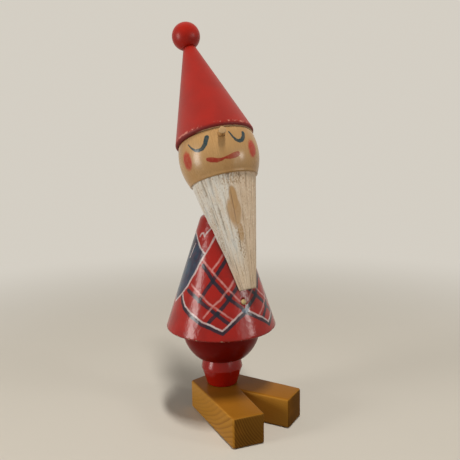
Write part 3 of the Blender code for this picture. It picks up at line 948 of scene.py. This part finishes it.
def hat_frame():
    """The frame of the hat's tilted axis."""
    tilted = tilt_frame((-HAT_OFFSET, 0.0, CROWN), (-HAT_TILT_BACK, -HAT_TILT_SIDE, 0.0))
    return head_frame() @ tilted


def cone_outline(grown=0.0):
    """The coat's outer side, from hem to top."""
    corners = [
        (0.0, COAT_BASE - grown),
        (HEM_RADIUS + grown, COAT_BASE - grown, HEM_ROUND + grown),
        (COAT_TOP_RADIUS + grown, COAT_TOP + grown, COAT_TOP_ROUND + grown),
        (0.0, COAT_TOP + grown),
    ]
    return softened(corners)[1:-1]


def face_radius(height):
    """Radius of the head at a height between jaw and crown."""
    if height < CHEEK:
        share = (CHEEK - height) / (CHEEK - JAW - JAW_ROUND)
        return CHEEK_RADIUS - (CHEEK_RADIUS - JAW_RADIUS) * share ** 2
    share = (height - CHEEK) / (CROWN - CHEEK)
    return CHEEK_RADIUS - (CHEEK_RADIUS - CROWN_RADIUS) * share ** 2


class Strands:
    """The uneven grooves that part the beard into strands."""

    def __init__(self, count, depth):
        chance = random.Random(GROOVE_SEED)
        self.lines = []
        for index in range(count):
            turn = 360.0 * (index + 0.5) / count + chance.uniform(-3.5, 3.5)
            deep = depth * chance.uniform(0.55, 1.0)
            self.lines.append((turn, deep, chance.uniform(0.42, 0.75), index))
            if chance.random() < 0.55:
                between = turn + 360.0 / count * chance.uniform(0.35, 0.65)
                deep = depth * chance.uniform(0.2, 0.45)
                self.lines.append((between, deep, chance.uniform(0.3, 0.45), index + 50))

    def cut(self, turn, reach, height):
        """How deep the grooves are at a point, and how far inside one it is, from 0 to 1."""
        degrees = math.degrees(turn)
        narrowing = 0.45 + 0.55 * (height - BEARD_TIP) / (JAW - BEARD_TIP)
        deepest = inside = 0.0
        for line, depth, width, index in self.lines:
            sway = GROOVE_SWAY * noise.noise(Vector((index * 7.3, height * 0.07, 0.0)))
            away = abs((degrees - line - sway + 180.0) % 360.0 - 180.0)
            if away > GROOVE_REACH:
                continue
            away = math.radians(away) * reach
            width = width * narrowing
            fading = 0.75 + 0.9 * noise.noise(Vector((index * 3.1, height * 0.11, 5.0)))
            level = math.exp(-(away / width) ** 2) * min(1.0, max(0.15, fading))
            deepest = max(deepest, level * depth * narrowing)
            inside = max(inside, level)
        return deepest, inside


def toes(notch, side, length, splay):
    """Inner and outer toe in plan. The side is 1 for the left foot and -1 for the right."""
    angle = math.radians(splay)
    along = Vector((side * math.sin(angle), -math.cos(angle)))
    across = Vector((side * math.cos(angle), math.sin(angle)))
    inner_toe = notch + along * length
    return [inner_toe, inner_toe + across * FOOT_WIDTH]


def feet_plan():
    """Plan of the feet, from the notch round the left foot and the heel to the right foot."""
    notch = Vector((0.0, -NOTCH_REACH))
    left = toes(notch, 1.0, LEFT_FOOT_LENGTH, LEFT_FOOT_SPLAY)
    right = toes(notch, -1.0, RIGHT_FOOT_LENGTH, RIGHT_FOOT_SPLAY)
    heel = [Vector((side * HEEL_WIDTH / 2.0, HEEL_REACH)) for side in (1.0, -1.0)]
    return [notch] + left + heel + right[::-1]


class TOMTE_OT_feet(Operator):
    """Saw the pine block of the two feet and soften its edges"""

    bl_idname = "tomte.feet"
    bl_label = "Feet"

    def execute(self, context):
        block = bmesh.new()
        corners = [block.verts.new((point.x * MM, point.y * MM, 0.0)) for point in feet_plan()]
        raised = bmesh.ops.extrude_face_region(block, geom=[block.faces.new(corners)])["geom"]
        upper = [item for item in raised if isinstance(item, bmesh.types.BMVert)]
        bmesh.ops.translate(block, verts=upper, vec=(0.0, 0.0, FEET_TOP * MM))
        bmesh.ops.recalc_face_normals(block, faces=block.faces)
        bmesh.ops.bevel(
            block, geom=[edge for edge in block.edges if edge.is_convex], affect="EDGES",
            offset=FEET_EDGE_ROUND * MM, offset_type="OFFSET", segments=6, profile=0.5)
        feet = piece("pine_feet", block, pine_finish(context.scene.tomte_paints))
        socket = LEG_DOWEL_RADIUS + TURN_CLEARANCE
        carve(feet, bore("leg_socket", socket, FEET_TOP - FEET_SOCKET_DEPTH, CUT_REACH))
        feet.data.set_sharp_from_angle(angle=SHARP_ANGLE)
        stands_for(feet, "feet_block", "feet")
        return {"FINISHED"}


class TOMTE_OT_leg_and_hips(Operator):
    """Turn the ankle with its collar, and the half ball under the hem"""

    bl_idname = "tomte.leg_and_hips"
    bl_label = "Leg and Hips"

    def execute(self, context):
        paints = context.scene.tomte_paints
        rough = context.scene.tomte_work.coat_roughness
        hole = LEG_DOWEL_RADIUS + GLUE_GAP
        shoulder = LEG_TOP - COLLAR_HEIGHT
        low, high = (math.radians(angle) for angle in COLLAR_TILT)
        curve = (COLLAR_HEIGHT - COLLAR_LIP) / (math.sin(high) - math.sin(low))
        middle = shoulder + COLLAR_LIP - curve * math.sin(low)
        side = circle_line((COLLAR_RADIUS - curve * math.cos(low), middle), curve, low, high, 12)
        outline = softened([
            (hole, LEG_BASE), (ANKLE_RADIUS, LEG_BASE, ANKLE_ROUND),
            (COLLAR_RADIUS + COLLAR_LIP_PROUD, shoulder - COLLAR_LIP, COLLAR_ROUND), side[0]])
        outline += side[1:] + [(hole, LEG_TOP)]
        paint = red_enamel("leg_red", paints.coat_red, rough)
        leg = piece("red_leg", turned(outline, LEG_SIDES), paint, turn_frame(COAT_TURN))
        stands_for(leg, "leg", "body")
        reach = HIPS_RADIUS - HIPS_EDGE_ROUND
        drop = HIPS_TOP - HIPS_BASE - HIPS_EDGE_ROUND
        lowest = -math.asin(drop / reach)
        edge = (math.sqrt(reach ** 2 - drop ** 2), HIPS_TOP - drop)
        bowl = [(hole, HIPS_BASE)] + circle_line(edge, HIPS_EDGE_ROUND, -math.pi / 2.0, lowest, 8)
        bowl += circle_line((0.0, HIPS_TOP), HIPS_RADIUS, lowest, 0.0, 36)[1:]
        bowl.append((hole, HIPS_TOP))
        # The hips take the coat's red at half its tone: painted shade under the hem.
        paint = red_enamel("hips_red_painted_shade", tinted(paints.coat_red, 0.50), rough + 0.12, 0.08)
        hips = piece("red_hips", turned(bowl, HIPS_SIDES), paint, turn_frame(COAT_TURN))
        stands_for(hips, "hips", "body")
        return {"FINISHED"}


def button_frame():
    """The frame of the button, square to the coat's side under the beard's tip."""
    height = HEAD_HEIGHT + BEARD_TIP * math.cos(math.radians(HEAD_LEAN)) - BUTTON_DROP
    reach = HEM_RADIUS - (height - COAT_BASE) * math.tan(COAT_SLOPE)
    square = 90.0 - math.degrees(COAT_SLOPE)
    return turn_frame(COAT_TURN) @ tilt_frame((0.0, -reach, height), (square, 0.0, 0.0))


class TOMTE_OT_coat(Operator):
    """Turn the coat, bore it for its dowels and its button, and paint the plaid"""

    bl_idname = "tomte.coat"
    bl_label = "Coat"

    def execute(self, context):
        scene = context.scene
        leg_hole = LEG_DOWEL_RADIUS + GLUE_GAP
        neck_hole = NECK_RADIUS + GLUE_GAP
        leg_end = COAT_BASE + COAT_SOCKET_DEPTH
        neck_end = COAT_TOP - NECK_IN_COAT
        outline = [(0.0, leg_end), (leg_hole, leg_end), (leg_hole, COAT_BASE)]
        outline += fine_line(cone_outline(), CONE_STEP)
        outline += [(neck_hole, COAT_TOP), (neck_hole, neck_end), (0.0, neck_end)]

        def dented(turn, radius, height):
            if radius <= HEM_RADIUS - 3.0:
                return radius, height
            spot = Vector((math.sin(turn) * 3.0, math.cos(turn) * 3.0, height * 0.08))
            above = abs(height - COAT_BASE - HEM_DENT_MIDDLE)
            near_hem = max(0.0, 1.0 - above / HEM_DENT_SPREAD)
            dent = max(0.0, noise.noise(spot * 3.0) - 0.15) * HEM_DENT * near_hem
            return radius - dent, height

        paint = plaid_paint(scene.tomte_paints, scene.tomte_work)
        shape = turned(outline, CONE_SIDES, dented)
        coat = piece("plaid_coat", shape, paint, turn_frame(COAT_TURN))
        button_hole = BUTTON_RADIUS + GLUE_GAP
        carve(coat, bore("button_hole", button_hole, -BUTTON_DEPTH, BUTTON_DEPTH, button_frame()))
        stands_for(coat, "coat", "body")
        return {"FINISHED"}


class TOMTE_OT_button(Operator):
    """Set the small domed button in the coat's front"""

    bl_idname = "tomte.button"
    bl_label = "Button"

    def execute(self, context):
        outline = [(0.0, SEAT_GAP - BUTTON_DEPTH), (BUTTON_RADIUS, SEAT_GAP - BUTTON_DEPTH)]
        for step in range(9):
            angle = math.radians(90.0 * step / 8.0)
            outline.append((BUTTON_RADIUS * math.cos(angle), BUTTON_PROUD * math.sin(angle)))
        outline[-1] = (0.0, BUTTON_PROUD)
        paint = button_finish(context.scene.tomte_paints)
        button = piece("coat_button", turned(outline, PEG_SIDES), paint, button_frame())
        stands_for(button, "button", "body")
        return {"FINISHED"}


def nose_frame():
    """The frame of the nose, square to the face."""
    turn = math.radians(FACE_TURN)
    reach = face_radius(NOSE_HEIGHT)
    place = (reach * math.sin(turn), -reach * math.cos(turn), NOSE_HEIGHT)
    return head_frame() @ tilt_frame(place, (90.0, 0.0, FACE_TURN))


class TOMTE_OT_head(Operator):
    """Turn the head, carve the beard's strands and hollow its back over the coat"""

    bl_idname = "tomte.head"
    bl_label = "Head and Beard"

    def execute(self, context):
        paints = context.scene.tomte_paints
        work = context.scene.tomte_work
        strands = Strands(work.groove_count, work.groove_depth / MM)
        low = JAW + JAW_ROUND
        high = CROWN + CROWN_SPARE
        levels = [low + (high - low) * step / 32.0 for step in range(1, 33)]
        beard = [
            (0.0, BEARD_TIP), (BEARD_TIP_RADIUS, BEARD_TIP, BEARD_TIP_ROUND),
            (BEARD_TOP_RADIUS, JAW), (JAW_RADIUS, JAW)]
        outline = fine_line(softened(beard, 3)[:-1], BEARD_STEP)
        outline += circle_line((JAW_RADIUS - JAW_ROUND, low), JAW_ROUND, -math.pi / 2.0, 0.0, 6)
        outline += [(face_radius(level), level) for level in levels]
        outline.append((0.0, high))

        def carved(turn, radius, height):
            if height > JAW + SLIVER or radius > BEARD_TOP_RADIUS + SLIVER:
                return radius, height
            spread = radius * 1.5
            spot = Vector((math.sin(turn) * spread, math.cos(turn) * spread, height * 0.3))
            rough = BEARD_ROUGHNESS * noise.noise(spot)
            return radius - strands.cut(turn, radius, height)[0] + rough, height

        shape = turned(outline, HEAD_SIDES, carved)
        head = piece("beard_and_head", shape, face_finish(paints), head_frame())
        head.data.materials.append(beard_finish(paints, work))
        head.data.materials.append(bare_wood(paints, "hollow_wood"))
        hollow = [(0.0, COAT_BASE - BEARD_CLEARANCE)] + cone_outline(BEARD_CLEARANCE)
        hollow.append((0.0, COAT_TOP + BEARD_CLEARANCE))
        on_neck = turn_frame(HEAD_TURN)
        neck_hole = NECK_RADIUS + TURN_CLEARANCE
        dowel_hole = HAT_DOWEL_RADIUS + GLUE_GAP
        seat = hat_frame() @ tilt_frame((0.0, 0.0, 0.0), (0.0, HAT_SLANT, 0.0))
        carve(
            head,
            piece("coat_hollow", turned(hollow, HOLLOW_SIDES), None, on_neck),
            bore("neck_hole", neck_hole, COAT_BASE, COAT_TOP + NECK_IN_HEAD, on_neck),
            bore("crown_trim", 2.0 * CHEEK_RADIUS, 0.0, CUT_REACH, seat),
            bore("hat_dowel_hole", dowel_hole, -HAT_DOWEL_IN_HEAD, CUT_REACH, hat_frame()),
            bore("nose_hole", NOSE_RADIUS + GLUE_GAP, -NOSE_DEPTH, NOSE_DEPTH, nose_frame()))
        mesh = head.data
        upright = on_neck.inverted() @ head_frame()
        under_jaw = (JAW + SLIVER) * MM
        for face in mesh.polygons:
            if face.center.z > under_jaw:
                continue
            spot = upright @ face.center
            side = HEM_RADIUS - (spot.z / MM - COAT_BASE) * math.tan(COAT_SLOPE)
            inside = math.hypot(spot.x, spot.y) / MM < side + BEARD_CLEARANCE * 1.4
            face.material_index = 2 if inside else 1
        groove = mesh.attributes.new("groove", "FLOAT", "POINT")
        for vert in mesh.vertices:
            reach = math.hypot(vert.co.x, vert.co.y) / MM
            if vert.co.z < under_jaw and reach > 1.0:
                turn = math.atan2(vert.co.x, -vert.co.y)
                groove.data[vert.index].value = strands.cut(turn, reach, vert.co.z / MM)[1]
        mesh.set_sharp_from_angle(angle=BEARD_SHARP_ANGLE)
        stands_for(head, "head", "head")
        return {"FINISHED"}


class TOMTE_OT_nose(Operator):
    """Set the sawn peg of the nose in the face"""

    bl_idname = "tomte.nose"
    bl_label = "Nose"

    def execute(self, context):
        outline = softened([
            (0.0, SEAT_GAP - NOSE_DEPTH), (NOSE_RADIUS, SEAT_GAP - NOSE_DEPTH, NOSE_BACK_ROUND),
            (NOSE_RADIUS, NOSE_PROUD - NOSE_END_DOME, NOSE_END_ROUND), (0.0, NOSE_PROUD)])
        wood = nose_finish(context.scene.tomte_paints)
        nose = piece("peg_nose", turned(outline, PEG_SIDES), wood, nose_frame())
        stands_for(nose, "nose", "head")
        return {"FINISHED"}


class TOMTE_OT_hat_and_ball(Operator):
    """Turn the tall hat with its slanted base, and the ball on its tip"""

    bl_idname = "tomte.hat_and_ball"
    bl_label = "Hat and Ball"

    def execute(self, context):
        paints = context.scene.tomte_paints
        rough = context.scene.tomte_work.hat_roughness
        top = SEAT_GAP + HAT_HEIGHT
        dowel_hole = HAT_DOWEL_RADIUS + GLUE_GAP
        dowel_end = SEAT_GAP + HAT_DOWEL_IN_HAT
        pin_hole = PIN_RADIUS + GLUE_GAP
        outline = [(0.0, dowel_end), (dowel_hole, dowel_end), (dowel_hole, SEAT_GAP)]
        side = softened([
            (dowel_hole, SEAT_GAP), (HAT_RADIUS, SEAT_GAP, HAT_EDGE_ROUND),
            (HAT_TIP_RADIUS, top, HAT_TIP_ROUND), (pin_hole, top)])
        outline += fine_line(side[1:-1], CONE_STEP)
        outline += [(pin_hole, top), (pin_hole, top - PIN_IN_HAT), (0.0, top - PIN_IN_HAT)]
        fall = math.tan(math.radians(HAT_SLANT))
        flare = (HAT_RADIUS - HAT_TIP_RADIUS) / HAT_HEIGHT

        def slanted(turn, radius, height):
            share = max(0.0, 1.0 - height / HAT_SLANT_REACH)
            drop = radius * math.sin(turn) * fall * share
            wide = radius > 2.0 * HAT_DOWEL_RADIUS
            return radius + (drop * flare if wide else 0.0), height - drop

        shape = turned(outline, CONE_SIDES, slanted)
        hat = piece("red_hat", shape, hat_paint(paints, rough), hat_frame())
        stands_for(hat, "hat", "head")
        flat = top + SEAT_GAP
        centre = flat + math.sqrt(BALL_RADIUS ** 2 - BALL_FLAT_RADIUS ** 2)
        lowest = -math.acos(BALL_FLAT_RADIUS / BALL_RADIUS)
        hole_end = flat + PIN_IN_BALL
        outline = [(0.0, hole_end), (pin_hole, hole_end), (pin_hole, flat)]
        outline += circle_line((0.0, centre), BALL_RADIUS, lowest, math.pi / 2.0, 48)
        outline[-1] = (0.0, centre + BALL_RADIUS)
        paint = red_enamel("ball_red", tinted(paints.hat_red, 1.1), rough - 0.03)
        ball = piece("red_ball", turned(outline, BALL_SIDES), paint, hat_frame())
        stands_for(ball, "ball", "head")
        return {"FINISHED"}


class TOMTE_OT_dowels(Operator):
    """Give the hidden dowels and the pin their bare wood"""

    bl_idname = "tomte.dowels"
    bl_label = "Dowels"

    def execute(self, context):
        wood = bare_wood(context.scene.tomte_paints)
        for node in ("leg_dowel", "neck_dowel", "hat_dowel", "ball_pin"):
            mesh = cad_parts[node].data
            mesh.materials.clear()
            mesh.materials.append(wood)
        return {"FINISHED"}


class TOMTE_OT_stage(Operator):
    """Lay the pale floor, hang the soft lamps and set up the camera"""

    bl_idname = "tomte.stage"
    bl_label = "Stage"

    def execute(self, context):
        scene = context.scene
        paints = scene.tomte_paints
        ground = bmesh.new()
        bmesh.ops.create_circle(ground, cap_ends=True, segments=128, radius=FLOOR_RADIUS * MM)
        bmesh.ops.translate(ground, verts=ground.verts, vec=(0.0, 0.0, -FLOOR_DROP * MM))
        floor = piece("pale_floor", ground, floor_finish(paints))
        to_feet = turn_frame(-FEET_TO_VIEW)
        target = Vector((0.0, 0.0, LAMP_TARGET * MM))
        for name, (turn, rise, distance, wide, tall, power) in LAMPS.items():
            lamp = bpy.data.lights.new(name, "AREA")
            lamp.shape = "RECTANGLE"
            lamp.size = wide
            lamp.size_y = tall
            lamp.energy = power
            lamp.color = LAMP_COLOUR
            toward = to_feet @ turn_frame(turn) @ pitch_frame(-rise) @ Vector((0.0, -1.0, 0.0))
            hung = bpy.data.objects.new(name, lamp)
            hung.location = target + toward * distance
            hung.rotation_euler = toward.to_track_quat("Z", "Y").to_euler()
            hung.visible_camera = False
            hung.visible_glossy = name != "ceiling_lamp"
            scene.collection.objects.link(hung)
        aim = turn_frame(-CAMERA_YAW) @ pitch_frame(90.0 - CAMERA_PITCH) @ turn_frame(-CAMERA_ROLL)
        lens = bpy.data.cameras.new("front_view")
        lens.lens = CAMERA_LENS
        lens.sensor_width = SENSOR_WIDTH
        lens.clip_start = 0.01
        camera = bpy.data.objects.new("front_view", lens)
        camera.matrix_world = to_feet @ Matrix.Translation(Vector(CAMERA_PLACE) * MM) @ aim
        scene.collection.objects.link(camera)
        scene.camera = camera
        room = bpy.data.worlds.new("pale_room")
        room.use_nodes = True
        scene.world = room
        seen = seen_rays(room.node_tree)
        backdrop = room.node_tree.nodes["Background"]
        backdrop.inputs["Color"].default_value = (*paints.floor_pale, 1.0)
        strength = seen * (1.0 - ROOM_FILL) + ROOM_FILL
        room.node_tree.links.new(strength.socket, backdrop.inputs["Strength"])
        scene.view_settings.view_transform = "Standard"
        return {"FINISHED"}


class TOMTE_PT_panel(Panel):
    """Lists the pieces of the figurine and its finishes"""

    bl_label = "Tomte"
    bl_idname = "TOMTE_PT_panel"
    bl_space_type = "VIEW_3D"
    bl_region_type = "UI"
    bl_category = "Tomte"

    def draw(self, context):
        layout = self.layout
        for group in (context.scene.tomte_paints, context.scene.tomte_work):
            for name in group.__annotations__:
                layout.prop(group, name)
        for made in OPERATORS:
            layout.operator(made.bl_idname)


OPERATORS = (
    TOMTE_OT_feet,
    TOMTE_OT_leg_and_hips,
    TOMTE_OT_coat,
    TOMTE_OT_button,
    TOMTE_OT_head,
    TOMTE_OT_nose,
    TOMTE_OT_hat_and_ball,
    TOMTE_OT_dowels,
    TOMTE_OT_stage,
)
CLASSES = (TomtePaints, TomteWork, *OPERATORS, TOMTE_PT_panel)


def register():
    for made in CLASSES:
        bpy.utils.register_class(made)
    bpy.types.Scene.tomte_paints = PointerProperty(type=TomtePaints)
    bpy.types.Scene.tomte_work = PointerProperty(type=TomteWork)


def unregister():
    del bpy.types.Scene.tomte_work
    del bpy.types.Scene.tomte_paints
    for made in reversed(CLASSES):
        bpy.utils.unregister_class(made)


def main():
    register()
    bpy.ops.tomte.feet()
    bpy.ops.tomte.leg_and_hips()
    bpy.ops.tomte.coat()
    bpy.ops.tomte.button()
    bpy.ops.tomte.head()
    bpy.ops.tomte.nose()
    bpy.ops.tomte.hat_and_ball()
    bpy.ops.tomte.dowels()
    bpy.ops.tomte.stage()


if __name__ == "__main__":
    main()
